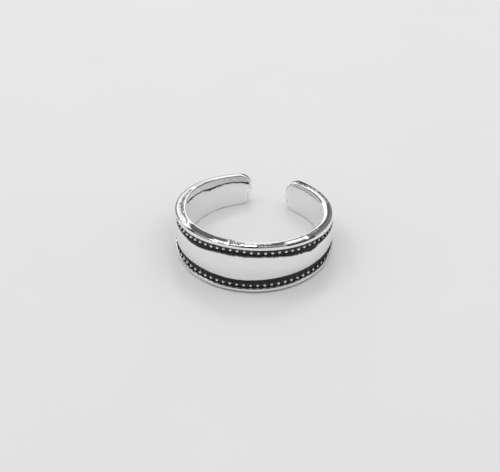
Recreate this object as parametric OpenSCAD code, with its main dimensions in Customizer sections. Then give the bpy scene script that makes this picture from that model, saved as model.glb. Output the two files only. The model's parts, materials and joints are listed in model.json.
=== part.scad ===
// Open toe ring, cast in one piece, lying on its lower rim as it rests on a table.
// +Z is up, the wide front of the band faces -Y and the gap between its ends faces +Y.
// The origin is where the axis of the toe hole meets the table.

/* [Band] */
// Radius of the toe hole
bore_r = 7.55; // [6.5:0.05:9]
// Thickness of the band from the toe hole to the outside of its rims
wall = 1.2; // [1:0.05:1.6]
// Height of the band at its front
front_h = 5.95; // [4.8:0.05:7]
// Height of the band at its back, which the band tapers down to
back_h = 3.45; // [3:0.05:4.6]
// Rounding of the outer edge of each rim
outer_round = 0.25; // [0.15:0.05:0.4]
// Rounding of the inner edge of each rim
inner_round = 0.25; // [0.1:0.05:0.4]

/* [Ends] */
// Angle of the gap between the two ends, around the toe hole
gap_angle = 29; // [16:1:60]
// Radius of the rounded corners of each end, seen from behind
nose_r = 1.6; // [0.8:0.05:1.65]
// Bevel across the thickness of each end
end_bevel = 0.25; // [0.1:0.05:0.35]

/* [Grooves] */
// Height of the polished rim above the upper groove
upper_rim_w = 0.45; // [0.35:0.05:0.6]
// Height of the polished rim below the lower groove
lower_rim_w = 0.65; // [0.5:0.05:0.7]
// Height of the upper groove
upper_groove_w = 0.8; // [0.7:0.05:1]
// Height of the lower groove
lower_groove_w = 1.05; // [0.7:0.05:1.2]
// Depth of both grooves
groove_depth = 0.3; // [0.15:0.05:0.4]

/* [Beads] */
// Diameter of a bead
bead_d = 0.4; // [0.3:0.02:0.46]
// Height of a bead's middle from the nearer edge of the band
bead_inset = 0.91; // [0.88:0.01:0.95]
// How far a bead's middle stands out of the groove's floor
bead_lift = 0.05; // [0:0.01:0.1]
// Angle from one bead to the next around the ring
bead_pitch = 5.05; // [4.2:0.05:7]
// Beads to each side of the one at the front
side_beads = 22; // [8:1:24]

/* [Hidden] */
// Steps that each rounded edge is turned in
round_steps = 3;
// Angle of one such step
round_step = 90 / round_steps;
// Radius of the outside, across the two rims
outer_r = bore_r + wall;
// Tilt of either edge of the band against the plane square to the toe hole
taper = atan((front_h - back_h) / (4 * outer_r));
// Distance between the two edges along the axis of the toe hole
mid_h = (front_h + back_h) / 2;
// Length that a cutting shape runs past what it cuts
past = front_h * tan(round_step / 2);
// Share of a bead's pitch from the last bead's middle to the end of its groove
end_share = 0.7;
// Angle to each side of the front at which the grooves end
groove_end = (side_beads + end_share) * bead_pitch;
// Height that the rounding of an end starts at above the band's own edge
nose_over = 0.08;
// Half the height that the rounded ends are drawn at
nose_half = back_h / 2 + nose_over;
// Half the width of the gap at the outside of the ring
half_gap_w = outer_r * tan(gap_angle / 2);
$fn = 96;

// Points of an arc in round_steps chords
function arc(x, y, r, from, to) =
    [for (i = [0:round_steps]) let (a = from + (to - from) * i / round_steps)
        [x + r * cos(a), y + r * sin(a)]];

// Turns +Z onto the axis of the toe hole, with the origin kept on the lower edge
module along_hole() {
    rotate([-taper, 0, 0]) children();
}

// The lower edge is drawn as it lies: z is the depth into the band
module from_lower_edge() {
    children();
}

// The upper edge is drawn the same way and turned over onto the top of the band
module from_upper_edge() {
    along_hole() translate([0, 0, mid_h]) rotate([-taper, 0, 0]) mirror([0, 0, 1]) children();
}

// Section of an edge of the band, rounded outside and inside, and open past the walls
module edge_section() {
    deep = 2 * front_h;
    polygon(concat(
        [[outer_r + past, deep], [outer_r + past, outer_round + past / tan(round_step / 2)]],
        arc(outer_r - outer_round, outer_round, outer_round, 0, -90),
        arc(bore_r + inner_round, inner_round, inner_round, 270, 180),
        [[bore_r - past, inner_round + past / tan(round_step / 2)], [bore_r - past, deep]]));
}

module edge() {
    rotate_extrude() edge_section();
}

// Plain tube around the toe hole, longer than the band at both ends
module tube() {
    along_hole() translate([0, 0, -front_h]) difference() {
        cylinder(r = outer_r, h = 3 * front_h);
        translate([0, 0, -past]) cylinder(r = bore_r, h = 3 * front_h + 2 * past);
    }
}

// Full ring: the tube between its two tilted, rounded edges
module ring_blank() {
    intersection() {
        tube();
        from_lower_edge() edge();
        from_upper_edge() edge();
    }
}

// Groove that runs around the front and both sides, at a depth rim_w from the edge
module groove(rim_w, groove_w) {
    rotate([0, 0, -90 - groove_end]) rotate_extrude(angle = 2 * groove_end)
        translate([outer_r - groove_depth, rim_w]) square([groove_depth + past, groove_w]);
}

module bead_row() {
    for (i = [-side_beads:side_beads])
        rotate([0, 0, i * bead_pitch - 90])
            translate([outer_r - groove_depth + bead_lift, 0, bead_inset]) sphere(d = bead_d);
}

// Half of the space between the ends, seen from behind: x = 0 is the end itself
module half_gap_outline() {
    difference() {
        translate([-half_gap_w, -2 * back_h]) square([half_gap_w + nose_r, 4 * back_h]);
        for (edge_side = [-1, 1])
            translate([nose_r, edge_side * (nose_half - nose_r)]) circle(r = nose_r);
        translate([0, nose_r - nose_half]) square([nose_r, 2 * (nose_half - nose_r)]);
    }
}

// Square bar that bevels the corner of an end where it meets a wall of the ring
module bevel_bar(wall_r) {
    translate([0, wall_r, 0]) rotate([0, 0, 45])
        cube([end_bevel * sqrt(2), end_bevel * sqrt(2), 3 * front_h], center = true);
}

// Takes the space between the ends out of the ring, square to the wall at each end
module gap() {
    along_hole() translate([0, 0, mid_h / 2]) for (side = [0, 1]) mirror([side, 0, 0])
        rotate([0, 0, -gap_angle / 2]) {
            translate([0, outer_r + past, 0]) rotate([90, 0, 0])
                linear_extrude(outer_r + past) half_gap_outline();
            bevel_bar(bore_r);
            bevel_bar(outer_r);
        }
}

// The whole ring: rims, raised panel and beads are one casting
module band() {
    color("silver") {
        difference() {
            ring_blank();
            from_upper_edge() groove(upper_rim_w, upper_groove_w);
            from_lower_edge() groove(lower_rim_w, lower_groove_w);
            gap();
        }
        from_upper_edge() bead_row();
        from_lower_edge() bead_row();
    }
}

band();
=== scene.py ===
# %% [markdown]
# An open toe ring in silver.
#
# The real ring is one small casting. Its band is wide in front and open behind, and two grooves
# of tiny beads run round it, blackened so that the beads stand out. This lesson draws the band
# as a flat strip, rolls it up, sets the beads into it and then gives each face its finish. The
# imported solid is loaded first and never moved, because the mesh below takes its sizes from it.

# %% Load the solid model as a fixed frame
import json
import math
import random
from types import SimpleNamespace

import bmesh
import bpy
import numpy as np
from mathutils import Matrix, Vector


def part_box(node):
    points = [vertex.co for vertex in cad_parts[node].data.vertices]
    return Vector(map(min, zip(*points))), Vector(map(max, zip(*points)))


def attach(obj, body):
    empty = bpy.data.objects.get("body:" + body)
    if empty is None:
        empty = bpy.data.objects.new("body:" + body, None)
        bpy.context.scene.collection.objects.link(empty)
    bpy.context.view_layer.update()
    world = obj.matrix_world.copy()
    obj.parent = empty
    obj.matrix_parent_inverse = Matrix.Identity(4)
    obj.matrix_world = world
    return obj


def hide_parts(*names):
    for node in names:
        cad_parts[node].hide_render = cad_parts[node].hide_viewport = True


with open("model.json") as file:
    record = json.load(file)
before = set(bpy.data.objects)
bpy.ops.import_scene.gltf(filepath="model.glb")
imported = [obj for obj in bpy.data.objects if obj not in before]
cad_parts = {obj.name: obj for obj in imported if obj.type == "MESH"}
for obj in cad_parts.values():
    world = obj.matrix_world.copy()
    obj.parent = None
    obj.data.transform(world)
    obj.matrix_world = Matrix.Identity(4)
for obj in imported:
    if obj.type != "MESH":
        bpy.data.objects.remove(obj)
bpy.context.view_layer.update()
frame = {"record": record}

# %% [markdown]
# A ring is measured round its hole. The toe hole's radius and the lean of its axis come from
# the mount in the record, and the outer radius is half the width of the solid. The other sizes
# are the ones that a goldsmith would note down, in millimetres. They are multiplied by MM where
# points are placed, since every object in the scene is in metres.

# %% Sizes of the band
MM = 0.001
toe_hole = next(m for m in frame["record"]["mounts"] if m["name"] == "toe_hole")
low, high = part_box("band")
bore_r = toe_hole["dims"]["r_mm"]
outer_r = (high.x - low.x) / 2 / MM
wall_r = (bore_r + outer_r) / 2
taper = math.atan2(toe_hole["axis"][1], toe_hole["axis"][2])
front_h = 5.95
mid_h = front_h - 2 * outer_r * math.tan(taper)
print(f"hole {2 * bore_r:.2f} mm, outside {2 * outer_r:.2f} mm, "
      f"band {front_h:.2f} mm high in front and {2 * mid_h - front_h:.2f} mm behind")

# %% [markdown]
# The strip has three coordinates: the angle round the ring, which is 0 in the middle of the
# front, the radius from the axis of the hole, and the height along that axis, which is 0 halfway
# up the band. Rolling it up is then one line of sine and cosine. The ring lies on its lower
# edge, and the band tapers, so the axis of the hole leans back by the taper.

# %% Roll the strip up
def roll(angle, radius, height):
    """Places points of the strip in the frame, in metres."""
    across = -radius * np.cos(angle)
    along = height + mid_h / 2
    side = radius * np.sin(angle)
    back = across * math.cos(taper) + along * math.sin(taper)
    up = along * math.cos(taper) - across * math.sin(taper)
    return np.stack([side, back, up], axis=-1) * MM


def half_height(angle, radius):
    """Height of the band's upper edge over the middle of the strip."""
    return mid_h / 2 + radius * np.cos(angle) * math.tan(taper)


print("lowest point of the rolled edge, m:", roll(0.0, outer_r, -half_height(0.0, outer_r))[2])

# %% [markdown]
# Every cross-section of the strip has the same number of points, so the whole band is a grid of
# columns and rows. The columns stand closest where the form changes fastest: eight to each bead,
# a few where the grooves run out, one to a degree along the plain arms, and finer ones round the
# nose of each arm, where equal turns of the corner give the spacing.

# %% Columns round the ring
bead_pitch = math.radians(5.05)
side_beads = 22
gap_angle = math.radians(29)
nose_r = 1.6
PER_BEAD = 8
RUN_OUT_COLUMNS = 8
ARM_COLUMNS = 35
NOSE_COLUMNS = 22

bead_zone = (side_beads + 0.5) * bead_pitch
groove_end = bead_zone + bead_pitch
end_angle = math.pi - gap_angle / 2
nose_start = end_angle - nose_r / wall_r

beaded = np.linspace(0, bead_zone, (2 * side_beads + 1) * PER_BEAD // 2 + 1)
run_out = np.linspace(bead_zone, groove_end, RUN_OUT_COLUMNS + 1)[1:]
arm = np.linspace(groove_end, nose_start, ARM_COLUMNS + 1)[1:]
corner_turn = np.linspace(math.pi / 2, 0, NOSE_COLUMNS + 1)[1:]
nose = end_angle - nose_r * (1 - np.cos(corner_turn)) / wall_r
half_ring = np.concatenate([beaded, run_out, arm, nose])
angle = np.concatenate([-half_ring[:0:-1], half_ring])
degrees = np.degrees(angle)
from_end = (end_angle - np.abs(angle)) * wall_r
print(f"{len(angle)} columns from {degrees[0]:.1f} to {degrees[-1]:.1f} degrees")

# %% [markdown]
# The band was filed and polished by hand, so no width on it is constant. Three helpers draw
# that. `through` lays a smooth curve through a few values, `ease` fades one thing into another,
# and `wander` makes the smaller and faster irregularity from a few sine waves. Their phases are
# seeded, so the ring is the same each time that the lesson is run.

# %% Helpers for smooth changes
def through(table, at):
    """A smooth curve through (degrees, value) rows that never swings past them."""
    knots, values = np.array(table, dtype=float).T
    steps = np.diff(values) / np.diff(knots)
    before, after = steps[:-1], steps[1:]
    alike = before * after > 0
    slopes = np.zeros(len(knots))
    slopes[1:-1][alike] = (2 * before * after)[alike] / (before + after)[alike]
    wanted = np.clip(np.degrees(at), knots[0], knots[-1])
    i = np.clip(np.searchsorted(knots, wanted) - 1, 0, len(knots) - 2)
    span = knots[i + 1] - knots[i]
    s = (wanted - knots[i]) / span
    start = (1 + 2 * s) * (1 - s) ** 2 * values[i] + s * (1 - s) ** 2 * span * slopes[i]
    end = s * s * (3 - 2 * s) * values[i + 1] + s * s * (s - 1) * span * slopes[i + 1]
    return start + end


def ease(x, start, end):
    """0 before start, 1 after end, and smooth between them."""
    s = np.clip((x - start) / (end - start), 0, 1)
    return s * s * (3 - 2 * s)


def wander(seed, slowest, fastest):
    """A sum of sine waves, from slowest to fastest in waves round the ring, about 1 high."""
    dice = random.Random(seed)
    waves = [(n, dice.uniform(0, 2 * math.pi)) for n in range(slowest, fastest, 3)]
    total = sum(np.sin(n * angle + phase) for n, phase in waves)
    return total / math.sqrt(2 * len(waves))


print("highest wander of 3 to 16 waves:", round(float(wander(31, 3, 16).max()), 2))

# %% [markdown]
# A short table gives each width at a few angles, as read off the ring. The rims are narrowest in
# front, and the upper edge of the panel rises and falls most. Every width could be one number,
# but then the ring would look turned on a lathe.

# %% Widths that change round the ring
# Columns: degrees from the front, millimetres from the nearer edge of the band
UPPER_RIM = [(-180, 0.60), (-80, 0.60), (-48, 0.56), (-33, 0.53), (-22, 0.48), (-12, 0.42),
             (13, 0.42), (30, 0.46), (61, 0.50), (80, 0.58), (180, 0.60)]
UPPER_PANEL = [(-180, 1.25), (-80, 1.25), (-49, 1.42), (-38, 1.60), (-31, 1.60), (-22, 1.48),
               (-16, 1.36), (-12, 1.32), (-6, 1.34), (0, 1.27), (6, 1.31), (12, 1.26),
               (20, 1.27), (30, 1.36), (41, 1.54), (50, 1.56), (56, 1.70), (61, 1.62),
               (65, 1.38), (72, 1.30), (80, 1.22), (180, 1.25)]
UPPER_BEADS = [(-180, 0.93), (-60, 1.00), (-48, 1.08), (-38, 0.99), (-25, 0.95), (-15, 0.87),
               (-8, 0.78), (4, 0.76), (10, 0.84), (16, 0.89), (30, 0.90), (42, 0.97),
               (60, 0.92), (180, 0.92)]
LOWER_RIM = [(-180, 0.54), (-50, 0.51), (0, 0.49), (50, 0.53), (180, 0.54)]
LOWER_PANEL = [(-180, 1.66), (-49, 1.63), (-34, 1.67), (-12, 1.61), (0, 1.57), (18, 1.65),
               (40, 1.72), (60, 1.72), (80, 1.66), (180, 1.66)]
LOWER_BEADS = [(-180, 0.90), (180, 0.90)]

print("upper rim in front, mm:", round(float(through(UPPER_RIM, 0.0)), 3))

# %% [markdown]
# The edges of the band are softly rounded, and at each end the rounding turns the corner and
# runs down the nose. On the flat strip that is an outline drawn again and again, each time set
# a little further in and a little higher. `rounded_edge` gives one of those outlines, from share
# 0, the rim of the outline itself, to share 1, where the face of the band begins.

# %% Rounding of the edges and of the two noses
INNER_R = 0.08
MORE_AT_NOSE = 0.22
UPPER_OUTER_R = 0.17
LOWER_OUTER_R = 0.25
TOP_CROWN = 0.02
# Millimetres from the very end between which the inner edges grow rounder
UPPER_SOFTENS = (1.4, 0.4)
LOWER_SOFTENS = (0.9, 0.3)

upper_inner_r = INNER_R + MORE_AT_NOSE * ease(from_end, *UPPER_SOFTENS)
lower_inner_r = INNER_R + MORE_AT_NOSE * ease(from_end, *LOWER_SOFTENS)
past_nose = ease(from_end, 0, nose_r)
into_nose = nose_r - np.minimum(from_end, nose_r)


def rounded_edge(share, r):
    """How far the edge drops from the face, and its depth below the top of the band."""
    inset = r * share * np.minimum(1, from_end / r)
    drop = r - np.sqrt(np.maximum(0, r ** 2 - (r - inset) ** 2))
    corner = np.sqrt(np.maximum(0, (nose_r - inset) ** 2 - into_nose ** 2))
    return drop, nose_r - corner + TOP_CROWN * past_nose


print("nose: outline depth at the very end, mm:",
      round(float(rounded_edge(0, upper_inner_r)[1][-1]), 2))

# %% [markdown]
# Whoever finished the ring took a file to it. Along the inside of the upper edge, one arm has
# a long slanted cut that starts beside the hollow of the ring and widens towards the end, and
# the other arm has a much smaller one. Under the cut runs a crease, painted black as shade. Both
# are depths in millimetres that change round the ring, so a short table holds each of them. The
# file was held straight, so the cut runs out where the corner of the end drops away.

# %% Cuts of the file
# Millimetres that the cut goes into the wall for each millimetre that it reaches down
CUT_SLANT = 0.6
CUT_WAVER = 0.06
CREASE_WAVER = 0.25
LEAST_CREASE = 0.03
# Columns: degrees from the front, millimetres that the cut reaches down the inside
CUT = [(-180, 0.72), (-160, 0.68), (-155, 0.57), (-147, 0.51), (-140, 0.54), (-132, 0.62),
       (-125, 0.64), (-118, 0.55), (-110, 0.48), (-102, 0.42), (-95, 0.29), (-88, 0.18),
       (-80, 0.0), (105, 0.0), (125, 0.24), (150, 0.20), (180, 0.16)]
# Columns: degrees from the front, height in millimetres of the crease under the cut, painted as
# shade
CREASE = [(-180, 0.26), (-162, 0.26), (-156, 0.13), (-140, 0.14), (-133, 0.20), (-127, 0.32),
          (-121, 0.18), (-108, 0.14), (-96, 0.30), (-86, 0.22), (-80, 0.05), (180, 0.05)]

reach = through(CUT, angle) * (1 + CUT_WAVER * wander(21, 12, 60))
corner_drop = nose_r - np.sqrt(nose_r ** 2 - into_nose ** 2)
file_cut = np.maximum(0, reach - corner_drop)
crease_h = through(CREASE, angle) * (1 + CREASE_WAVER * wander(22, 20, 90))
crease_h = np.maximum(LEAST_CREASE, crease_h)
print("deepest reach of the cut, mm:", round(float(file_cut.max()), 2))

# %% [markdown]
# The top of the rim was stoned in three narrow facets. Their leans change round the ring, and
# their ends slant across it in places. A lean of a few degrees is too little to see in the
# outline, but a mirror doubles it, so this table decides where the rim looks white and where it
# looks dark. The slopes are added up across the rim in small steps, which gives one height for
# every place on it. Where the hand was unsteady, the stone left a patch of short marks.

# %% Stoned facets of the top
# Columns: degrees from the front, lean in degrees of the inner, middle and outer facet, and the
# shares of the rim's width at which they meet; a facet that leans inwards has a minus sign
TOP_FACETS = [(-180, 2, 0, 0, 0.20, 0.40), (-160, 2, 0, 0, 0.20, 0.40),
              (-156, 7, 8, 9, 0.35, 0.65), (-112, 7, 8, 9, 0.35, 0.65),
              (-100, 8, 0, 10, 0.24, 0.60), (-88, 9, -3, 11, 0.24, 0.66),
              (-72, 8, -3, 11, 0.16, 0.66), (-62, 8, -3, 11, 0.16, 0.54),
              (-56, 7, -2, 12, 0.20, 0.44), (-50, 6, 7, 12, 0.30, 0.80),
              (-46, 9, -2, -1, 0.10, 0.82),
              (-22, 9, -2, -1, 0.10, 0.72), (-19, 10, -2, 13, 0.10, 0.70),
              (-8, 11, -2, 13, 0.10, 0.72), (-6, -6, -1, 3, 0.24, 0.72),
              (0, -9, -3, 4, 0.24, 0.74), (3, -9, -3, 13, 0.26, 0.78),
              (6, -9.5, -6.3, 13, 0.40, 0.80), (13, -9.5, -6.3, 14, 0.42, 0.80),
              (15, -9.5, -3, 2, 0.42, 0.72), (33, -9.5, -4, 1, 0.36, 0.74),
              (36, -9.5, 13, -1, 0.34, 0.86), (53, -10.5, 13, -1, 0.30, 0.86),
              (56, -11.5, 0, 3, 0.28, 0.66), (64, -12, 0, 3, 0.28, 0.60),
              (78, -15, 0, 4, 0.42, 0.68), (90, -17, 0, 4, 0.45, 0.72),
              (104, -17, -1, 4, 0.42, 0.72), (116, -15, -2, 4, 0.56, 0.80),
              (125, -12, -4, 4, 0.60, 0.84), (141, -12, -4, 3, 0.56, 0.80),
              (150, -12, -4, 3, 0.24, 0.48), (180, -12, -4, 3, 0.24, 0.48)]
# Columns: degrees from the front, degrees that a facet's ends slant across the rim
SLANT = [(-180, 0), (-66, 0), (-58, 16), (-38, 16), (-30, 4), (-16, 4), (0, 0), (180, 0)]
# Columns: degrees from the front, unsteadiness of the stone in degrees
UNSTEADY = [(-180, 0.0), (-104, 0.0), (-96, 1.0), (-58, 1.0), (-50, 0.0), (-10, 0.0),
            (-7, 4.0), (3, 4.0), (7, 0.0), (54, 0.0), (57, 3.0), (68, 3.0), (74, 0.0), (180, 0.0)]
# Share of the unsteadiness that the inner, middle and outer facet show
MARKS_SHARE = (0.4, 1, 0)
LEAN_WAVER = 0.3
TOP_STEPS = 96


def facet(column, at=angle):
    """One column of the facets' table, all round the ring."""
    return through([(row[0], row[column]) for row in TOP_FACETS], at)


def lean_at(share):
    """Slope of the stoned top at one share of its width, all round the ring."""
    at = angle - np.radians(through(SLANT, angle)) * (share - 0.5)
    leans = [facet(1 + i, at) + wavers[i] for i in range(3)]
    chosen = np.where(share < meets[0], leans[0], np.where(share < meets[1], leans[1], leans[2]))
    return np.tan(np.radians(chosen))


meets = [facet(4), facet(5)]
unsteady = through(UNSTEADY, angle)
wavers = [LEAN_WAVER * wander(31 + i, 3, 16) + MARKS_SHARE[i] * unsteady * wander(34 + i, 110, 270)
          for i in range(3)]
slopes = np.array([lean_at((k + 0.5) / TOP_STEPS) for k in range(TOP_STEPS)])
top_fall = np.concatenate([[0 * angle], np.cumsum(slopes, axis=0) / TOP_STEPS])
print("deepest fall across the top, mm:", round(float(top_fall.max() * (outer_r - bore_r)), 2))

# %% [markdown]
# Black is painted along the outermost edge of each rim, thicker in some places than in others.
# On the upper rim it is painted dark reflection, where the edge would otherwise catch a highlight,
# and on the lower rim, where the ring stands on the paper, it is painted contact shade. The outer
# corner of each end is painted dark as well. On the right side the outside of the upper rim is
# worn down a little. These are tables as well, and a value of 1 is fully black.

# %% Painted dark edges and wear
# Columns: degrees from the front, share of painted dark reflection on the upper rim's outer edge
UPPER_EDGE_PAINTED_DARK = [(-180, 0.95), (-159, 0.95), (-154, 0.62), (-60, 0.62), (-52, 0), (-46, 0),
               (-43, 0.8), (-38, 0.8), (-34, 0.55), (-22, 0.55), (-19, 0), (1, 0), (4, 0.95),
               (13, 0.95), (16, 0.5), (34, 0.5), (38, 0.9), (58, 0.9), (64, 0), (141, 0),
               (148, 0.95), (180, 0.95)]
# Columns: degrees from the front, share of painted contact shade on the lower rim's outer edge
LOWER_EDGE_PAINTED_SHADE = [(-180, 0), (-70, 0.2), (-35, 0.45), (-10, 0.75), (5, 0.85), (52, 0.85), (75, 0.5),
               (110, 0.2), (180, 0)]
# Columns: degrees from the front, millimetres that the outside is worn down
WORN_OUTSIDE = [(-180, 0), (58, 0), (76, 0.07), (95, 0.10), (120, 0.13), (140, 0.10), (158, 0),
                (180, 0)]
# Degrees from the front between which the dark corner of each arm fades in
LEFT_CORNER = (-155, -160)
RIGHT_CORNER = (143, 150)
# Millimetres from the very end over which it fades in
TIP_FADE = 0.1
LEAST_BLACK = 0.02

dark_corner = ease(degrees, *LEFT_CORNER) + ease(degrees, *RIGHT_CORNER)
dark_corner = dark_corner * ease(from_end, 0.0, TIP_FADE)
print("columns with a dark corner:", int((dark_corner > LEAST_BLACK).sum()))

# %% [markdown]
# The stone and the buff didn't reach every place alike, and a mirror shows the difference at
# once. So some stretches of the middle and the outer facet keep the marks of the stone, and some
# stretches of the rim's outer edge are smooth. The painted black of the outer edges stops just
# before the end of each arm, and only the dark corner goes on.

# %% Stretches of stoned and of smooth silver
def stretches(*ends):
    """True in the columns that lie between any (from, to) pair of degrees from the front."""
    return np.any([(degrees > start) & (degrees < stop) for start, stop in ends], axis=0)


stoned_middle = stretches((-104, -52), (-10, 24), (54, 70), (112, 180))
stoned_outer = stretches((-104, -50))
smooth_edge = stretches((-180, -60), (-21, -1), (60, 180))
# Zones of the inner, middle and outer facet
FACET_ZONES = ("rim", np.where(stoned_middle, "stoned", "rim"),
               np.where(dark_corner > LEAST_BLACK, "groove",
                        np.where(stoned_outer, "stoned", "rim")))
PAINTED_EDGE_STOP = 0.2
painted_edge_share = np.where(from_end > PAINTED_EDGE_STOP, 1, dark_corner)
print("columns with a stoned middle facet:", int(stoned_middle.sum()))

# %% [markdown]
# One half of the section runs from the wall of the toe hole, over the edge of the band, down
# into a groove and up to the raised panel. Its forms are tiny, and each has its own size in
# millimetres and its own number of steps. Small roundings at every corner catch the light, as on
# the real thing, where a knife-sharp corner would look like paper. Thin webs of metal stand in
# the grooves between the beads.

# %% Small sizes of the section
WALL_ROWS = 3
EDGE_STEPS = 7
FACET_STEPS = 4
PAINTED_EDGE_STEPS = 6
LIP_STEPS = 3
FLOOR_STEPS = 8
groove_depth = 0.3
lip_r = 0.05
foot_r = 0.04
side_lean = 0.02
floor_past_bead = 0.08
bead_r = 0.18
web_h = 0.07
web_sharpness = 12
panel_drop = 0.06
face_crown = 0.05

edge_shares = 1 - np.cos(np.linspace(0, math.pi / 2, EDGE_STEPS + 1))
lip_turns = np.linspace(0, math.pi / 2, LIP_STEPS + 1)
groove_fade = 1 - ease(np.abs(angle), bead_zone, groove_end)
webs = np.abs(np.sin(np.pi * angle / bead_pitch)) ** web_sharpness
print("groove depth in front, mm:", groove_depth * float(groove_fade[len(angle) // 2]))

# %% [markdown]
# The two rims differ on top. The upper one has its stoned facets, whose heights were added up
# above, and the lower one, on which the ring stands, is simply worn round. Each is a function of
# the place across the rim, so the same section can be drawn with either.

# %% Tops of the two rims
WORN_H = 0.10
# Share of its highest rise by which the whole top is sunk
SUNK_SHARE = 0.45


def stoned_top(x, width):
    """Depth of the stoned top at one share of its width."""
    step = (x + 0 * angle) * TOP_STEPS
    k = np.minimum(step.astype(int), TOP_STEPS - 1)
    columns = np.arange(len(angle))
    fall = top_fall[k, columns] + (step - k) * (top_fall[k + 1, columns] - top_fall[k, columns])
    return (fall - SUNK_SHARE * top_fall.min(axis=0)) * width


def worn_top(x, width):
    """Depth of the lower edge, which is worn round where the ring stands on it."""
    return WORN_H * (2 * x - 1) ** 2 + 0 * angle


print("worn top, mm:", [round(float(worn_top(x, 1.0)[0]), 3) for x in (0, 0.5, 1)])

# %% [markdown]
# A half of the section is described by ten measures, most of them with a value for every column.
# The rest follows from them: how far the file went in, where the top of the rim begins and how
# wide it is, and where the floor of the groove ends. They are kept together under one name, so
# the functions that draw the rows can share them.

# %% Measures of the two halves
# Reach in millimetres between which the edge turns from rounded to filed
CUT_STARTS = (0.02, 0.2)
# Share of that turn from which the cut has a finish of its own
CUT_SHOWS = 0.6
LEAST_SLOPE_W = 0.04
RAGGED = 0.036


def measured(**measures):
    """The measures of a half, and those that follow from them."""
    half = SimpleNamespace(**measures)
    half.filed = ease(half.cut, *CUT_STARTS)
    half.cut_shows = half.filed > CUT_SHOWS
    half.wall_drop, half.wall_depth = rounded_edge(1, half.inner_r)
    half.face_drop, half.face_depth = rounded_edge(1, half.edge_r)
    top_drop, half.top_depth = rounded_edge(0, half.inner_r)
    cut_drop = np.maximum(top_drop, CUT_SLANT * half.cut)
    half.cut_top = (1 - half.filed) * top_drop + half.filed * cut_drop
    half.ridge = half.filed * (half.top_depth + half.cut) + (1 - half.filed) * half.wall_depth
    half.crease = LEAST_CREASE + half.filed * (crease_h - LEAST_CREASE)
    half.top_from = bore_r + half.cut_top
    half.rim_r = outer_r - half.worn
    half.top_w = half.rim_r - rounded_edge(0, half.edge_r)[0] - half.top_from
    half.floor_end = np.minimum(half.beads + bead_r + floor_past_bead,
                                half.panel_edge - LEAST_SLOPE_W)
    return half


ragged = RAGGED * wander(41, 24, 150)
upper_half = measured(
    rim_w=through(UPPER_RIM, angle), beads=through(UPPER_BEADS, angle),
    panel_edge=through(UPPER_PANEL, angle) + ragged, panel_lip_r=0.10,
    inner_r=upper_inner_r, edge_r=UPPER_OUTER_R, worn=through(WORN_OUTSIDE, angle),
    trace=through(UPPER_EDGE_PAINTED_DARK, angle), cut=file_cut, top_shape=stoned_top)
lower_half = measured(
    rim_w=through(LOWER_RIM, angle), beads=through(LOWER_BEADS, angle),
    panel_edge=through(LOWER_PANEL, angle) + 0.5 * ragged[::-1], panel_lip_r=0.05,
    inner_r=lower_inner_r, edge_r=LOWER_OUTER_R, worn=0 * angle,
    trace=through(LOWER_EDGE_PAINTED_SHADE, angle), cut=0 * angle, top_shape=worn_top)
print(f"top of the upper rim {upper_half.top_w.min():.2f} to {upper_half.top_w.max():.2f} mm wide")

# %% [markdown]
# The section is drawn as rows. A row has a radius, a depth below the edge and how bare its
# silver is, from 0 for fully blackened to 1 for polished, and the strip that follows it has a
# zone, which is its finish. On the rims, some of the black is painted shade and painted dark
# reflection instead of blackening. The first rows climb the wall of the toe hole, dip into the
# crease and go up the filed cut to the top of the rim. Where there is no cut, the same rows draw
# a plain rounding.

# %% Rows of the inner edge
CREASE_SUNK = 0.05
RIDGE_SUNK = 0.02
BELOW_CREASE = 0.04
BELOW_RIDGE = 0.01
# Share of black in the thin line along the upper edge of the cut, a painted dark reflection
CUT_LINE_PAINTED_DARK = 0.9


def inner_edge(half):
    """Rows from the wall of the toe hole to the top of the rim."""
    filed = half.filed
    wall = bore_r + half.wall_drop
    crease = half.ridge + half.crease
    # Where the cut shows, the crease is painted black as shade, and the last row of the cut is
    # painted dark as a reflection.
    yield wall, crease + BELOW_CREASE, 1, np.where(half.cut_shows, "groove", "inside")
    yield (wall + CREASE_SUNK * filed, crease, 1 - filed,
           np.where(half.cut_shows, "groove", "rim"))
    yield (wall + RIDGE_SUNK * filed, half.ridge + BELOW_RIDGE, 1 - filed,
           np.where(half.cut_shows, "filed", "rim"))
    for step, share in enumerate(edge_shares[::-1]):
        x = step / EDGE_STEPS
        drop, depth = rounded_edge(share, half.inner_r)
        cut_drop = x * half.cut_top + (1 - x) * half.wall_drop
        cut_depth = half.ridge + x * (half.top_depth - half.ridge)
        lift = half.top_shape(0, half.top_w) * ((1 - filed) * (1 - share) + filed * x)
        cut_zone = "groove" if step >= EDGE_STEPS - 1 else "filed"
        yield (bore_r + drop + filed * (cut_drop - drop),
               depth + filed * (cut_depth - depth) + past_nose * lift,
               1 - CUT_LINE_PAINTED_DARK * filed * (step == EDGE_STEPS),
               np.where(half.cut_shows, cut_zone, "rim"))


print("inner edge:", len(list(inner_edge(upper_half))), "rows")

# %% [markdown]
# The next rows cross the three facets on the top and turn down over the outer edge. The facets
# could be three flat faces, but then nothing could waver on them, so each gets four steps. The
# dark corner of each end grows blacker from row to row, and the outer edge holds the painted
# black: painted dark reflection on the upper rim and painted contact shade on the lower one.

# %% Rows of the top and the outer edge
BLACKER_PER_ROW = 0.3
BLACKEST_ROW = 3


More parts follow.
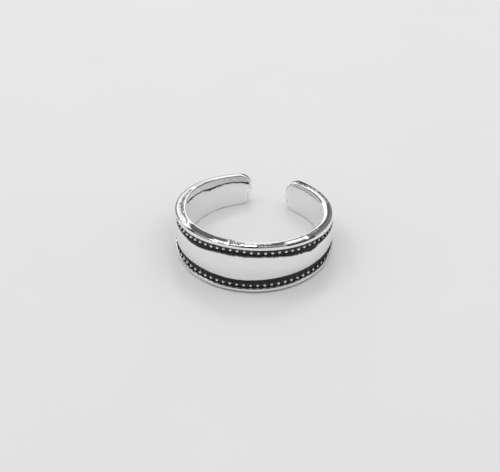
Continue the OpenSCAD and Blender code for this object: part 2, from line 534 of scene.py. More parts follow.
def top_of_rim(half):
    """Rows across the inner, the middle and the outer facet."""
    stops = [0 * angle, *meets, 0 * angle + 1]
    for i in range(1, 3 * FACET_STEPS):
        k = i // FACET_STEPS
        x = stops[k] + (i / FACET_STEPS - k) * (stops[k + 1] - stops[k])
        rows_dark = min(max(i - 2 * FACET_STEPS + 1, 0), BLACKEST_ROW)
        # Row 1 repeats the painted dark reflection along the cut, and near each end the dark
        # corner is painted darker row by row.
        yield (half.top_from + x * half.top_w,
               half.top_depth + past_nose * half.top_shape(x, half.top_w),
               1 - CUT_LINE_PAINTED_DARK * half.filed * (i == 1) - dark_corner * (rows_dark * BLACKER_PER_ROW),
               FACET_ZONES[k])


def outer_edge(half):
    """Rows over the outer edge, with painted dark reflection on the upper rim, contact shade on
    the lower.
    """
    # The edge is painted black here as dark reflection on the upper rim and as contact shade on
    # the lower.
    blackened = (half.trace > LEAST_BLACK) & (painted_edge_share > LEAST_BLACK)
    for step, share in enumerate(edge_shares):
        drop, depth = rounded_edge(share, half.edge_r)
        painted_edge_rows = blackened & (step < PAINTED_EDGE_STEPS)
        yield (half.rim_r - drop,
               depth + past_nose * half.top_shape(1, half.top_w) * (1 - share),
               1 - half.trace * painted_edge_rows * painted_edge_share,
               np.where(painted_edge_rows, "groove", np.where(smooth_edge, "rim", "stoned")))


print("top:", len(list(top_of_rim(upper_half))), "rows,",
      "outer edge:", len(list(outer_edge(upper_half))), "rows")

# %% [markdown]
# On the outside of the band the rows are drawn first as on a flat pattern: how far below the
# edge, how deep into the silver, how bare, and which zone. The first function goes over the lip
# of the groove and down its side, the second crosses the floor with its webs, and the third
# climbs the slope to the panel.

# %% Pattern of a groove
FACE_START = 0.03
WEB_BARE = 0.35
FOOT_BARE = 0.05
SLOPE_STOPS = (0.35, 0.7)
SLOPE_BARE = 0.04
BARER_UP_SLOPE = 0.12
PANEL_LIP_SPREAD = 1.5
# Black left on the panel's lip, for each half turn of its rounding
PANEL_LIP_BLACK = 1.6


def groove_side(half):
    """From the face of the rim over the lip to the foot of the groove."""
    yield (half.edge_r + FACE_START) / fit, 0, 1, "rim"
    for step, turn in enumerate(lip_turns):
        yield (half.rim_w - lip_r + lip_r * np.sin(turn), lip_r * (1 - np.cos(turn)), 1,
               "rim" if step < LIP_STEPS else "groove")
    for turn in lip_turns:
        yield (half.rim_w + side_lean + foot_r * (1 - np.cos(turn)),
               groove_depth - foot_r * (1 - np.sin(turn)), 0, "groove")


def groove_floor(half):
    """Across the floor, which rises to a web between two beads."""
    start = half.rim_w + side_lean + foot_r
    end = half.floor_end - foot_r
    for i in range(1, FLOOR_STEPS + 1):
        x = i / FLOOR_STEPS
        arch = math.sin(math.pi * x)
        yield (start + x * (end - start), groove_depth - web_h * webs * arch ** 0.5,
               WEB_BARE * webs * arch, "groove")


def panel_side(half):
    """Up the slope from the floor and over the edge of the panel."""
    for turn in lip_turns[1:]:
        yield (half.floor_end - foot_r * (1 - np.sin(turn)),
               groove_depth - foot_r * (1 - np.cos(turn)), FOOT_BARE, "groove")
    slope_h = groove_depth - foot_r - panel_drop - half.panel_lip_r
    for x in SLOPE_STOPS:
        yield (half.floor_end + x * (half.panel_edge - half.floor_end),
               groove_depth - foot_r - x * slope_h, SLOPE_BARE + BARER_UP_SLOPE * x, "groove")
    for turn in lip_turns[::-1]:
        yield (half.panel_edge + half.panel_lip_r * (1 - np.sin(turn)) * PANEL_LIP_SPREAD,
               panel_drop + half.panel_lip_r * (1 - np.cos(turn)),
               1 - turn / math.pi * PANEL_LIP_BLACK, "groove")


room = half_height(angle, outer_r)
fit = np.minimum(1, room / half_height(groove_end, outer_r))
print(f"half the band is {room.min():.2f} to {room.max():.2f} mm high")

# %% [markdown]
# The pattern is then fitted to the real face of the band. Towards the ends the band gets lower,
# so depths are squeezed to the room that is left, and where the grooves run out the relief fades
# into a plain, slightly crowned face. `half_section` puts all rows of a half in their order.

# %% Both halves of the section
def fitted(half, depth, cut_in, bare, zone):
    """One row of the pattern on the real face, faded where the grooves run out."""
    squeeze = (room - half.face_depth) / (room - half.edge_r)
    depth = half.face_depth + (depth * fit - half.edge_r) * squeeze
    crown = face_crown * (depth / room - 1) ** 2 * (1 - groove_fade) * past_nose
    inwards = np.maximum(cut_in * groove_fade, half.worn)
    bare = bare + (1 - bare) * (1 - groove_fade)
    return outer_r - half.face_drop - inwards - crown, depth, bare, zone


def spread(radius, depth, bare, zone):
    """One row with a value for every column."""
    zones = np.full(len(angle), zone) if isinstance(zone, str) else zone
    return radius + 0 * angle, depth + 0 * angle, bare + 0 * angle, zones


def half_section(half):
    """All rows of a half, and the number of the row where the floor of its groove starts."""
    rows = [*inner_edge(half), *top_of_rim(half), *outer_edge(half)]
    rows += [fitted(half, *row) for row in groove_side(half)]
    floor_start = len(rows) - 1
    rows += [fitted(half, *row) for row in groove_floor(half)]
    rows += [fitted(half, *row) for row in panel_side(half)]
    return [spread(*row) for row in rows], floor_start


upper_rows, upper_floor = half_section(upper_half)
lower_rows, lower_floor = half_section(lower_half)
print(f"half a section has {len(upper_rows)} rows")

# %% [markdown]
# The two halves are joined by the panel outside and by the wall of the toe hole inside. Both
# are rows spaced evenly between the halves. The panel is crowned a little, which is what rolls
# a soft highlight along it, and the inside is straight from edge to edge.

# %% Join the halves into whole sections
PANEL_STEPS = 14
INSIDE_STEPS = 14


def heights(rows, sign):
    """Turns the depths of a half section into heights over the middle of the strip."""
    return [(radius, sign * (half_height(angle, radius) - depth), bare)
            for radius, depth, bare, zone in rows]


def between(first, last, steps, bulge):
    """Rows evenly spaced between two rows, bulging outwards in the middle."""
    rows = []
    for i in range(1, steps):
        x = i / steps
        radius = first[0] + x * (last[0] - first[0]) + bulge * 4 * x * (1 - x)
        rows.append((radius, first[1] + x * (last[1] - first[1]), np.ones_like(angle)))
    return rows


def strip_zones(rows):
    """The zones of the strips between the rows of a half."""
    return [zone for radius, depth, bare, zone in rows[:-1]]


above = heights(upper_rows, 1)
below = heights(lower_rows, -1)
panel_rows = between(above[-1], below[-1], PANEL_STEPS, panel_drop * groove_fade)
inside_rows = between(below[0], above[0], INSIDE_STEPS, 0 * angle)
section = above + panel_rows + below[::-1] + inside_rows
radius, height, bare = (np.array(column) for column in zip(*section))
zones = np.array(strip_zones(upper_rows) + [np.full(len(angle), "panel")] * PANEL_STEPS
                 + strip_zones(lower_rows)[::-1] + [np.full(len(angle), "inside")] * INSIDE_STEPS)
print(f"{len(section)} rows of {len(angle)} points")

# %% [markdown]
# The last stretch of each arm is polished all over, apart from its dark corner. Where the wall
# of the hole turns round the end, a thin broken line is painted black as well, so each row takes
# its own share of black, drawn with a seed.

# %% Polish and black at the ends
END_POLISH = 0.30
LINE_OFF_END = 0.51
LINE_EDGES = (0.12, 0.04)
LINE_PATCH = 0.2
LINE_BLACK = (0.1, 0.52)
line_dice = random.Random(17)

outer_facet = WALL_ROWS + EDGE_STEPS + 2 * FACET_STEPS
corner_rows = slice(outer_facet, outer_facet + FACET_STEPS + PAINTED_EDGE_STEPS)
zones[:, from_end < END_POLISH] = "rim"
zones[corner_rows, dark_corner > LEAST_BLACK] = "groove"

off_line = np.abs(from_end - LINE_OFF_END)
for row in range(len(section) - INSIDE_STEPS, len(section)):
    bare[row] -= line_dice.uniform(*LINE_BLACK) * ease(off_line, *LINE_EDGES)
    zones[row, off_line < LINE_PATCH] = "groove"
print("columns beside the broken lines:", int((off_line < LINE_PATCH).sum()))

# %% [markdown]
# The beads are part of the casting, so they grow out of the groove's floor instead of being
# balls dropped on it. Each bead gets a cell of the floor, one pitch wide. The grid inside the
# cell is left out, and rings of points take its place: they start on the cell's own border, draw
# in to a circle, and then climb the dome. The border is shared with the rest of the grid, and
# nothing has to be welded. The beads at the sides are painted black up to their very tops.

# %% Cells of the floor that carry a bead
bead_h = 0.24
WORN_TOP = 0.65
DRAW_IN = (0.35, 0.68, 0.9)
DOME_TURNS = (0, 18, 36, 54, 72)
SIZE_SPREAD = (0.94, 1.06)
BEAD_FOOT_BARE = 0.1
BARER_UP_BEAD = 2.2
SIDE_BLACK = 0.85
BARE_TIP = 5
# Degrees from the front between which the beads begin to count as standing at the side
SIDE_FROM = (42, 72)
ring_dice = random.Random(11)


def cell_border(first_row, first_column):
    """(row, column) of the points round one cell, in order."""
    last_row = first_row + FLOOR_STEPS
    last_column = first_column + PER_BEAD
    there = [(first_row, c) for c in range(first_column, last_column)]
    down = [(r, last_column) for r in range(first_row, last_row)]
    back = [(last_row, c) for c in range(last_column, first_column, -1)]
    up = [(r, first_column) for r in range(last_row, first_row, -1)]
    return there + down + back + up


def bead_bareness(climb, aside):
    """How bare a bead is at a share of its height; aside is 1 for a bead at the side."""
    bare = min(1, BEAD_FOOT_BARE + BARER_UP_BEAD * climb)
    return bare * (1 - SIDE_BLACK * aside * (1 - climb ** BARE_TIP))


def bead_rings(border, middle_angle, middle_height):
    """Rings of (angle, radius, height, bareness) from a cell's border to the top of its bead."""
    rows, columns = np.array(border).T
    around = angle[columns]
    up = height[rows, columns]
    out = radius[rows, columns]
    size = bead_r * ring_dice.uniform(*SIZE_SPREAD)
    floor_r = outer_r - groove_depth
    turns = np.unwrap(np.arctan2(up - middle_height, (around - middle_angle) * floor_r))
    way = np.sign(turns[-1] - turns[0])
    even = way * 2 * math.pi * np.arange(len(border)) / len(border)
    even += (turns - even).mean()
    circle_angle = middle_angle + size * np.cos(even) / floor_r
    circle_height = middle_height + size * np.sin(even)
    aside = float(ease(abs(middle_angle), *np.radians(SIDE_FROM)))
    rings = []
    for share in DRAW_IN:
        fade = (1 - share) ** 2
        rings.append((around + share * (circle_angle - around), floor_r + fade * (out - floor_r),
                      up + share * (circle_height - up), fade * bare[rows, columns]))
    for turn in np.radians(DOME_TURNS):
        rings.append((middle_angle + math.cos(turn) * (circle_angle - middle_angle),
                      floor_r + bead_h * math.sin(turn) ** WORN_TOP + 0 * even,
                      middle_height + math.cos(turn) * (circle_height - middle_height),
                      bead_bareness(math.sin(turn), aside) + 0 * even))
    top = (middle_angle, floor_r + bead_h, middle_height, 1.0)
    return rings, top


print("points round a bead:", len(cell_border(0, 0)))

# %% [markdown]
# Now the points become a mesh. Vertex numbers count along the rows of the grid, and every strip
# between two rows turns into a band of four-sided faces, except over the cells of the beads.

# %% Faces of the grid
column_count = len(angle)
row_count = len(section)
cell_count = 2 * side_beads + 1
first_cell = int(np.argmin(np.abs(angle + bead_zone)))
lower_start = row_count - INSIDE_STEPS - lower_floor - FLOOR_STEPS
points = [tuple(p) for r in range(row_count) for p in roll(angle, radius[r], height[r])]
bareness_and_painted_shade = list(bare.ravel())
faces = []
face_zones = []


def vertex(row, column):
    """Number of a point of the grid."""
    return (row % row_count) * column_count + column


def in_cell(row, column):
    """True where a bead takes the place of the grid."""
    beaded_column = first_cell <= column < first_cell + cell_count * PER_BEAD
    on_floor = any(start <= row < start + FLOOR_STEPS for start in (upper_floor, lower_start))
    return beaded_column and on_floor


for row in range(row_count):
    for column in range(column_count - 1):
        if not in_cell(row, column):
            faces.append((vertex(row, column), vertex(row, column + 1),
                          vertex(row + 1, column + 1), vertex(row + 1, column)))
            face_zones.append(zones[row][column])
print(f"{len(points)} points, {len(faces)} faces in the grid")

# %% [markdown]
# Each cell is filled with the rings of its bead, from the border inwards, and a fan of triangles
# closes the top. The two ends of the band are closed flat. The last column of each nose falls
# onto itself where the rounding runs out, so doubled points are merged in the next cell.

# %% Faces of the beads and the two ends
BEAD_SWAY = 0.01


def add_ring(ring):
    """Adds one ring of points and gives their numbers."""
    first = len(points)
    points.extend(tuple(p) for p in roll(*ring[:3]))
    bareness_and_painted_shade.extend(ring[3])
    return list(range(first, len(points)))


def add_bead(floor_start, cell, sign, insets):
    """Fills one cell of the upper (sign 1) or the lower (sign -1) groove with its bead."""
    border = cell_border(floor_start, first_cell + cell * PER_BEAD)
    middle = (cell - side_beads) * bead_pitch
    inset = float(through(insets, middle)) + ring_dice.uniform(-BEAD_SWAY, BEAD_SWAY)
    rings, top = bead_rings(border, middle, sign * (half_height(middle, outer_r) - inset))
    outer = [vertex(*corner) for corner in border]
    following = [(i, (i + 1) % len(outer)) for i in range(len(outer))]
    for ring in rings:
        inner = add_ring(ring)
        faces.extend((outer[i], outer[j], inner[j], inner[i]) for i, j in following)
        outer = inner
    points.append(tuple(roll(*top[:3])))
    bareness_and_painted_shade.append(top[3])
    faces.extend((outer[i], outer[j], len(points) - 1) for i, j in following)


for cell in range(cell_count):
    add_bead(upper_floor, cell, 1, UPPER_BEADS)
for cell in range(cell_count):
    add_bead(lower_start, cell, -1, LOWER_BEADS)
face_zones += ["groove"] * (len(faces) - len(face_zones))

for column in (0, column_count - 1):
    faces.append(tuple(vertex(row, column) for row in range(row_count)))
    face_zones.append("rim")
print(f"{len(points)} points, {len(faces)} faces, {2 * cell_count} beads")

# %% [markdown]
# The bareness of each point is stored on the mesh as an attribute, which the groove's material
# reads later; on the rims it also carries painted shade and painted dark reflection. Each zone of
# the band becomes a material slot: polished rims, the buffed panel, the blackened grooves, which
# also paint that shade, the inside, which keeps its cast skin, the filed cut and the stoned
# facets. Points closer than MERGE_DIST are the same point.

# %% Build the mesh object
ZONES = ["rim", "panel", "groove", "inside", "filed", "stoned"]
MERGE_DIST = 0.0005 * MM
THINNEST_FACE = 0.0002 * MM


def ring_object():
    mesh = bpy.data.meshes.new("ring_band")
    mesh.from_pydata(points, [], faces)
    mesh.attributes.new("bareness_and_painted_shade", "FLOAT", "POINT").data.foreach_set("value", bareness_and_painted_shade)
    mesh.polygons.foreach_set("material_index", [ZONES.index(z) for z in face_zones])
    mesh.polygons.foreach_set("use_smooth", [True] * len(faces))
    made = bpy.data.objects.new("ring_band", mesh)
    bpy.context.collection.objects.link(made)
    return made


def clean(mesh):
    """Drops the unused floor points, merges doubled ones and turns all faces outwards."""
    work = bmesh.new()
    work.from_mesh(mesh)
    bmesh.ops.delete(work, geom=[v for v in work.verts if not v.link_faces], context="VERTS")
    bmesh.ops.remove_doubles(work, verts=work.verts, dist=MERGE_DIST)
    bmesh.ops.dissolve_degenerate(work, edges=work.edges, dist=THINNEST_FACE)
    bmesh.ops.recalc_face_normals(work, faces=work.faces)
    ngons = [f for f in work.faces if len(f.verts) > 4]
    for face in ngons:
        face.smooth = False
    bmesh.ops.triangulate(work, faces=ngons)
    open_edges = sum(1 for e in work.edges if not e.is_manifold)
    volume = work.calc_volume() / MM ** 3
    work.to_mesh(mesh)
    work.free()
    return open_edges, volume


ring = ring_object()
open_edges, volume = clean(ring.data)
triangles = sum(len(p.vertices) - 2 for p in ring.data.polygons)
print(f"ring: {triangles} triangles, {open_edges} open edges, {volume:.1f} cubic mm")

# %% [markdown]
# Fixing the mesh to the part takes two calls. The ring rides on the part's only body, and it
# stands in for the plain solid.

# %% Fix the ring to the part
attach(ring, "root")
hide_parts("band")
print("the ring replaces the plain band")

# %% [markdown]
# Every finish below is a set of nodes. A pattern that several finishes share is built once, as a
# node group with named inputs, and each material gives it its own values. These helpers make an
# empty group with its sockets, add a node and feed it in one line, and put a group in a material.

# %% Helpers for node groups
def new_group(name, inputs, outputs):
    """A shader node group with its sockets; each input is (name, kind, value)."""
    group = bpy.data.node_groups.new(name, "ShaderNodeTree")
    for socket, kind, value in inputs:
        made = group.interface.new_socket(socket, in_out="INPUT", socket_type=kind)
        made.default_value = value
    for socket, kind in outputs:
        group.interface.new_socket(socket, in_out="OUTPUT", socket_type=kind)
    return group, group.nodes.new("NodeGroupInput"), group.nodes.new("NodeGroupOutput")


def node(tree, kind, links=None, **values):
    """Adds a node. Links feed its inputs, and values set its properties."""
    made = tree.nodes.new(kind)
    for name, value in values.items():
        setattr(made, name, value)
    for socket, source in (links or {}).items():
        if hasattr(source, "is_output"):
            tree.links.new(source, made.inputs[socket])
        else:
            made.inputs[socket].default_value = source
    return made


def place(tree, group, **values):
    """Puts a group in a material with its own values; _ in a name stands for a space."""
    made = node(tree, "ShaderNodeGroup", node_tree=group)
    for name, value in values.items():
        made.inputs[name.replace("_", " ")].default_value = value
    return made


FLOAT, COLOR, VECTOR = "NodeSocketFloat", "NodeSocketColor", "NodeSocketVector"
print("node helpers ready")

# %% [markdown]
# Five kinds of node come back again and again: arithmetic, a noise, a bump, a mix of two colours
# and a change of range. Each gets a short name here, and gives the output that the next node
# needs, so that a finish reads like a recipe.

# %% Short names for the nodes that come back
def maths(tree, operation, *values, clamp=False):
    made = node(tree, "ShaderNodeMath", dict(enumerate(values)), operation=operation,
                use_clamp=clamp)
    return made.outputs[0]


def noise(tree, where, scale, detail, roughness=0.5, distortion=0.0):
    made = node(tree, "ShaderNodeTexNoise",
                {"Vector": where, "Scale": scale, "Detail": detail, "Roughness": roughness,
                 "Distortion": distortion})
    return made.outputs["Fac"]


def bump(tree, height, distance, under=None, strength=1.0, invert=False):
    """Bumps the surface, or the normal of what lies under it."""
    made = node(tree, "ShaderNodeBump",
                {"Height": height, "Distance": distance, "Strength": strength}, invert=invert)
    if under is not None:
        tree.links.new(under, made.inputs["Normal"])
    return made.outputs["Normal"]


def mix(tree, share, first, second):
    made = node(tree, "ShaderNodeMix", {"Factor": share, "A": first, "B": second},
                data_type="RGBA")
    return made.outputs["Result"]


def ranged(tree, value, low, high, value_low=0.0, value_high=1.0, smooth=False):
    """Low where the value is value_low, high where it is value_high."""
    made = node(tree, "ShaderNodeMapRange",
                {"Value": value, "From Min": value_low, "From Max": value_high, "To Min": low,
                 "To Max": high}, interpolation_type="SMOOTHSTEP" if smooth else "LINEAR")
    return made.outputs["Result"]


def grey(level):
    return (level, level, level, 1)


print("a middle grey:", grey(0.5))

# %% [markdown]
# Hand polishing leaves silver bright but never flat. The surface rolls gently under the light,
# at about a millimetre from crest to crest, and fine hairlines follow the stroke of the buff
# round the ring. The group makes both as bumps and gives a haze mask, high along the hairlines.

# %% Node group: hand polish
ROLLS_PER_METRE = 900.0
# Waves of the hairlines in a radian round the ring, and in a metre across the stroke
HAIRLINE_WAVES = (9.0, 26000.0, 26000.0)


def hand_polish_group():
    group, given, result = new_group(
        "hand polish",
        [("Roll size", FLOAT, 1.0), ("Roll height", FLOAT, 1.0), ("Hairlines", FLOAT, 1.0)],
        [("Normal", VECTOR), ("Haze", FLOAT)])
    where = node(group, "ShaderNodeTexCoord").outputs["Object"]
    roll_scale = maths(group, "DIVIDE", ROLLS_PER_METRE, given.outputs["Roll size"])
    rolls = noise(group, where, roll_scale, 1.0, 0.4, 0.3)

    parts = node(group, "ShaderNodeSeparateXYZ", {"Vector": where}).outputs
    turn = maths(group, "ARCTAN2", parts["Y"], parts["X"])
    length = node(group, "ShaderNodeVectorMath", {0: where}, operation="LENGTH")
    stroke = node(group, "ShaderNodeCombineXYZ",
                  {"X": turn, "Y": length.outputs["Value"], "Z": parts["Z"]})
    stretch = node(group, "ShaderNodeVectorMath", {0: stroke.outputs[0], 1: HAIRLINE_WAVES},
                   operation="MULTIPLY")
    lines = noise(group, stretch.outputs[0], 1.0, 3.0, 0.6)
    sharp = ranged(group, lines, 0.0, 1.0, 0.56, 0.72)
    haze = maths(group, "MULTIPLY", sharp, given.outputs["Hairlines"])

    rolling = bump(group, rolls, 6e-5, strength=given.outputs["Roll height"])
    lined = bump(group, haze, 4e-7, rolling, invert=True)
    group.links.new(lined, result.inputs["Normal"])
    group.links.new(haze, result.inputs["Haze"])
    return group


HAND_POLISH = hand_polish_group()
print("hand polish:", len(HAND_POLISH.nodes), "nodes")

# %% [markdown]
# The inside of the ring was never buffed. It still has the skin of the mould: a fine, even
# grain, a few soft waves left by the wax, and here and there a pit where a bubble sat. The same
# skin lies under the black of the grooves, so it is a group as well.

# %% Node group: cast skin
def cast_skin_group():
    group, given, result = new_group(
        "cast skin",
        [("Grain height", FLOAT, 1.0), ("Pits", FLOAT, 1.0)],
        [("Normal", VECTOR), ("Pit mask", FLOAT), ("Cloud", FLOAT)])
    where = node(group, "ShaderNodeTexCoord").outputs["Object"]
    grain = noise(group, where, 9000.0, 4.0, 0.65)
    cloud = noise(group, where, 1400.0, 2.0)
    cells = node(group, "ShaderNodeTexVoronoi", {"Vector": where, "Scale": 1500.0})
    pit = ranged(group, cells.outputs["Distance"], 1.0, 0.0, 0.04, 0.12)
    pits = maths(group, "MULTIPLY", pit, given.outputs["Pits"])
    waves = bump(group, cloud, 4e-5)
    grains = bump(group, grain, 1.2e-5, waves, given.outputs["Grain height"])
    sunk = bump(group, pits, 2e-5, grains, invert=True)
    group.links.new(sunk, result.inputs["Normal"])
    group.links.new(pits, result.inputs["Pit mask"])
    group.links.new(cloud, result.inputs["Cloud"])
    return group


CAST_SKIN = cast_skin_group()
print("cast skin:", len(CAST_SKIN.nodes), "nodes")

# %% [markdown]
# Liver of sulphur blackens silver, and the polisher then rubs it off wherever the buff reaches.
# What is left is darkest at the foot of the groove and thins out towards the lips in ragged
# patches. The group takes the bareness of the surface, frays it with noise, and mixes black
# and silver into a colour, a metal mask and a roughness.

# %% Node group: rubbed blackening
# The group also turns the painted shade and dark reflections stored with the bareness into black.
def rubbed_black_group():
    group, given, result = new_group(
        "rubbed blackening",
        [("Bareness", FLOAT, 1.0), ("Ragged", FLOAT, 0.25), ("Silver", COLOR, (1, 1, 1, 1)),
         ("Silver roughness", FLOAT, 0.1)],
        [("Color", COLOR), ("Metallic", FLOAT), ("Roughness", FLOAT)])
    where = node(group, "ShaderNodeTexCoord").outputs["Object"]
    fray = noise(group, where, 5200.0, 4.0, 0.6)
    centred = maths(group, "SUBTRACT", fray, 0.5)
    pushed = maths(group, "MULTIPLY_ADD", centred, given.outputs["Ragged"],
                   given.outputs["Bareness"])
    shown = ranged(group, pushed, 0.0, 1.0, 0.2, 0.8, smooth=True)
    black = ranged(group, fray, 0.008, 0.035)
    color = mix(group, shown, black, given.outputs["Silver"])
    metal = ranged(group, shown, 0.4, 1.0)
    rough = ranged(group, shown, 0.42, given.outputs["Silver roughness"])
    group.links.new(color, result.inputs["Color"])
    group.links.new(metal, result.inputs["Metallic"])
    group.links.new(rough, result.inputs["Roughness"])
    return group


RUBBED_BLACK = rubbed_black_group()
print("rubbed blackening:", len(RUBBED_BLACK.nodes), "nodes")

# %% [markdown]
# Silver is a plain metal, so its colour is the colour of its reflections, almost white. What
# tells the zones apart is their polish. The rims are nearly a mirror, the panel and the stoned
# facets are softer, and the filed cut is a dull satin. All take their haze from the hairlines.
# Values that are the same all over sit on the shader itself, and only what changes along the
# surface is linked to it.

# %% Materials: polished silver
SILVER_SHINE = 0.93
HAZY_SHINE = 0.80
HAZE_DULLS = 0.2


def silver_color(shine):
    """The faintly warm white of silver."""
    return (shine, shine, shine - 0.005, 1)


def new_material(name):
    """An empty material with a Principled shader."""
    material = bpy.data.materials.new(name)
    material.use_nodes = True
    return material, material.node_tree, material.node_tree.nodes["Principled BSDF"]


def polished_silver(name, dull, roll_size, roll_height, hairlines, shine=SILVER_SHINE, metal=1.0):
    material, tree, shader = new_material(name)
    polish = place(tree, HAND_POLISH, Roll_size=roll_size, Roll_height=roll_height,
                   Hairlines=hairlines)
    haze = polish.outputs["Haze"]
    color = mix(tree, haze, silver_color(shine), silver_color(HAZY_SHINE))
    shader.inputs["Metallic"].default_value = metal
    tree.links.new(color, shader.inputs["Base Color"])
    tree.links.new(ranged(tree, haze, dull, dull + HAZE_DULLS), shader.inputs["Roughness"])
    tree.links.new(polish.outputs["Normal"], shader.inputs["Normal"])
    return material


rim_silver = polished_silver("polished rim silver", 0.05, 1.4, 0.3, 0.8)
stoned_silver = polished_silver("stoned rim silver", 0.17, 0.25, 1.0, 1.0, shine=0.88)
panel_silver = polished_silver("buffed panel silver", 0.16, 1.6, 0.6, 0.5, shine=0.88)
filed_silver = polished_silver("filed cut silver", 0.30, 0.35, 1.6, 1.0, metal=0.55)
print("polished:", [m.name for m in (rim_silver, stoned_silver, panel_silver, filed_silver)])

# %% [markdown]
# In the grooves the same silver shows through the black. The material reads the bareness that
# was stored on the mesh, lets the blackening group mix the two, and lays the cast skin under it.
# On the rims the same material paints the black shade and dark reflections.

# %% Material: blackened grooves
def blackened_silver():
    material, tree, shader = new_material("blackened groove and painted shade silver")
    stored = node(tree, "ShaderNodeAttribute", attribute_name="bareness_and_painted_shade")
    black = place(tree, RUBBED_BLACK, Ragged=0.35, Silver=silver_color(SILVER_SHINE),
                  Silver_roughness=0.14)
    skin = place(tree, CAST_SKIN, Grain_height=0.5, Pits=0.4)
    tree.links.new(stored.outputs["Fac"], black.inputs["Bareness"])
    tree.links.new(black.outputs["Color"], shader.inputs["Base Color"])
    tree.links.new(black.outputs["Metallic"], shader.inputs["Metallic"])
    tree.links.new(black.outputs["Roughness"], shader.inputs["Roughness"])
    tree.links.new(skin.outputs["Normal"], shader.inputs["Normal"])
    return material


groove_silver = blackened_silver()
print("blackened:", groove_silver.name)

# %% [markdown]
# Inside, the light scatters off the grain, and the wall looks a calm pale grey. The cloud of the
# cast skin shifts the roughness a little from place to place, and the pits hold a trace of dark.

# %% Material: cast silver inside
def cast_silver():
    material, tree, shader = new_material("cast inside silver")
    skin = place(tree, CAST_SKIN, Grain_height=1.0, Pits=0.4)
    color = mix(tree, skin.outputs["Pit mask"], silver_color(SILVER_SHINE), silver_color(0.55))
    rough = ranged(tree, skin.outputs["Cloud"], 0.30, 0.45)
    shader.inputs["Metallic"].default_value = 0.75
    tree.links.new(color, shader.inputs["Base Color"])
    tree.links.new(rough, shader.inputs["Roughness"])
    tree.links.new(skin.outputs["Normal"], shader.inputs["Normal"])
    return material


inside_silver = cast_silver()
for material in (rim_silver, panel_silver, groove_silver, inside_silver, filed_silver,
                 stoned_silver):
    ring.data.materials.append(material)
print("slots on the ring:", [slot.name for slot in ring.material_slots])

# %% [markdown]
# The ring lies on plain pale paper. A sheet of faces is enough for it, with a faint mottle in
# its colour, so that the floor has a little life where the silver mirrors it.

# %% Floor
FLOOR_SIDE = 4.0


def pale_floor():
    mesh = bpy.data.meshes.new("floor")
    half = FLOOR_SIDE / 2
    corners = [(-half, -half, 0), (half, -half, 0), (half, half, 0), (-half, half, 0)]
    mesh.from_pydata(corners, [], [(0, 1, 2, 3)])
    made = bpy.data.objects.new("floor", mesh)
    bpy.context.collection.objects.link(made)
    material, tree, shader = new_material("pale paper")
    where = node(tree, "ShaderNodeTexCoord").outputs["Object"]
    mottle = noise(tree, where, 60.0, 3.0)
    tree.links.new(mix(tree, mottle, grey(0.80), grey(0.83)), shader.inputs["Base Color"])
    shader.inputs["Roughness"].default_value = 0.9
    shader.inputs["Specular IOR Level"].default_value = 0.1
    mesh.materials.append(material)
    return made


floor = pale_floor()
print("floor side, m:", FLOOR_SIDE)

# %% [markdown]
# The camera looks down on the front of the ring from a little to its right, through a long lens.
# Its place is worked out from the azimuth and elevation round a point over the middle of the
# ring, and it is aimed a touch in front of that point, as in a hand-held shot.

# %% Camera
PICTURE_WIDTH = 500
PIXELS_PER_RADIAN = 1458
view_azimuth = 12.3
view_elevation = 36.62
view_distance = 161.3 * MM
over_middle = Vector((0, 0.167, 3.0)) * MM
aim = Vector((-0.25, -0.89, 1.68)) * MM
# Radians that the camera is tipped sideways
camera_roll = 0.0037


def direction(azimuth, elevation):
    """A unit vector: azimuth 0 points to the front of the ring, 90 to its right."""
    a = math.radians(azimuth)
    e = math.radians(elevation)
    return Vector((math.sin(a) * math.cos(e), -math.cos(a) * math.cos(e), math.sin(e)))


def photo_camera():
    data = bpy.data.cameras.new("camera")
    made = bpy.data.objects.new("camera", data)
    bpy.context.collection.objects.link(made)
    made.location = over_middle + direction(view_azimuth, view_elevation) * view_distance
    made.rotation_euler = (aim - made.location).to_track_quat("-Z", "Y").to_euler()
    made.rotation_euler.rotate_axis("Z", camera_roll)
    data.lens = PIXELS_PER_RADIAN / PICTURE_WIDTH * data.sensor_width
    data.clip_start = 0.01
    return made


bpy.context.scene.camera = photo_camera()
print("lens, mm:", round(bpy.context.scene.camera.data.lens, 1))

# %% [markdown]
# Polished silver shows its surroundings, so the studio is a room made for its reflections. A
# card or a window of that room is a soft-edged patch of the sky around the scene. The group
# turns the direction that a ray looks in into two angles and gives a mask that is 1 inside the
# patch. Real cards would do the same, but they would also throw shadows.

# %% Node group: room patch
def room_patch_group():
    """A soft-edged patch of the room between two elevations, round a given azimuth."""
    group, given, result = new_group(
        "room patch",
        [("Azimuth", FLOAT, 0.0), ("Half width", FLOAT, 0.5), ("Low", FLOAT, 0.0),
         ("High", FLOAT, 0.5), ("Softness", FLOAT, 0.05)],
        [("Mask", FLOAT)])
    where = node(group, "ShaderNodeTexCoord").outputs["Generated"]
    back_turn = maths(group, "MULTIPLY", given.outputs["Azimuth"], -1.0)
    facing = node(group, "ShaderNodeVectorRotate", {"Vector": where, "Angle": back_turn},
                  rotation_type="Z_AXIS")
    parts = node(group, "ShaderNodeSeparateXYZ", {"Vector": facing.outputs[0]}).outputs
    front = maths(group, "MULTIPLY", parts["Y"], -1.0)
    aside = maths(group, "ABSOLUTE", maths(group, "ARCTAN2", parts["X"], front))
    upward = maths(group, "ARCSINE", parts["Z"])
    mask = 1.0
    for value, edge, sign in ((aside, "Half width", -1.0), (upward, "High", -1.0),
                              (upward, "Low", 1.0)):
        inside = maths(group, "SUBTRACT", value, given.outputs[edge])
        ramp = maths(group, "DIVIDE", inside, given.outputs["Softness"])
        ramp = maths(group, "MULTIPLY_ADD", ramp, sign, 0.5, clamp=True)
        mask = maths(group, "MULTIPLY", mask, ramp)
    group.links.new(mask, result.inputs["Mask"])
    return group


ROOM_PATCH = room_patch_group()
print("room patch:", len(ROOM_PATCH.nodes), "nodes")

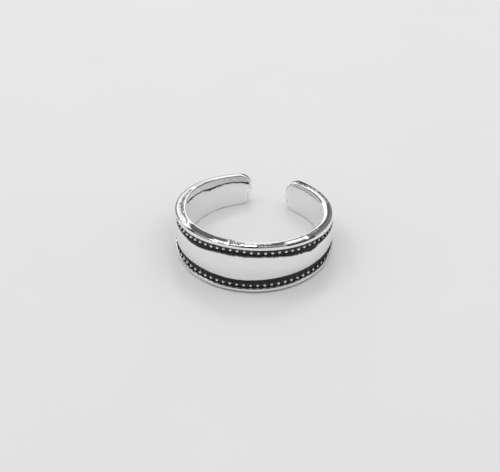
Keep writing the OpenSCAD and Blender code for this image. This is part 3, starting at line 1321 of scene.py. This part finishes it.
# %% [markdown]
# The walls of the room glow a middle grey. A dark card stands behind the ring and a dim patch in
# front of it, and a white window, two white ceiling panels and a bright horizon fill the rest of
# the back. They draw the black, grey and white streaks on the rims. The paper is lit evenly
# instead: the light path node gives a paler glow to rays that have bounced off something dull,
# and one more glow to what the camera sees past the paper.

# %% Pale room
# Columns: azimuth, half width, lowest and highest elevation, softness, all in degrees, and glow
ROOM = [
    (172, 22, 9, 34, 3, 0.12),
    (179, 5, 9, 34, 6, 0.25),
    (208, 10, 8, 50, 2, 1.15),
    (195, 10, 42, 66, 3, 1.05),
    (178, 8, 36, 50, 2, 1.05),
    (12, 48, 8, 78, 14, 0.10),
    (180, 27, -30, 8, 3, 1.05),
]
WALL_GLOW = 0.34
PAPER_GLOW = 0.81
BACKDROP_GLOW = 0.8


def room_light():
    world = bpy.data.worlds.new("pale room")
    bpy.context.scene.world = world
    world.use_nodes = True
    tree = world.node_tree
    color = grey(WALL_GLOW)
    for azimuth, half, lowest, highest, soft, glow in ROOM:
        patch = place(tree, ROOM_PATCH, Azimuth=math.radians(azimuth),
                      Half_width=math.radians(half), Low=math.radians(lowest),
                      High=math.radians(highest), Softness=math.radians(soft))
        color = mix(tree, patch.outputs["Mask"], color, grey(glow))
    ray = node(tree, "ShaderNodeLightPath").outputs
    color = mix(tree, ray["Is Camera Ray"], color, grey(BACKDROP_GLOW))
    color = mix(tree, ray["Diffuse Depth"], color, grey(PAPER_GLOW))
    tree.links.new(color, tree.nodes["Background"].inputs["Color"])


room_light()
print("patches in the room:", len(ROOM))

# %% [markdown]
# Four soft lamps, behind, in front and at both sides, throw the faint shadows on the paper. Area
# lamps are used, because a lamp's size is what makes the edge of its shadow soft.

# %% Soft lamps
# Columns: name, azimuth and elevation in degrees, distance and side in metres, watts
LAMPS = [
    ("lamp behind", 190, 54, 0.20, 0.040, 0.038),
    ("lamp left", 264, 58, 0.25, 0.055, 0.041),
    ("lamp right", 116, 56, 0.30, 0.084, 0.026),
    ("lamp in front", 12, 74, 0.30, 0.10, 0.012),
]


def soft_lamp(name, azimuth, elevation, away, side, watts):
    data = bpy.data.lights.new(name, "AREA")
    data.shape = "SQUARE"
    data.size = side
    data.energy = watts
    made = bpy.data.objects.new(name, data)
    bpy.context.collection.objects.link(made)
    toward = direction(azimuth, elevation)
    made.location = toward * away
    made.rotation_euler = toward.to_track_quat("Z", "Y").to_euler()


for lamp in LAMPS:
    soft_lamp(*lamp)
bpy.context.scene.view_settings.view_transform = "Standard"
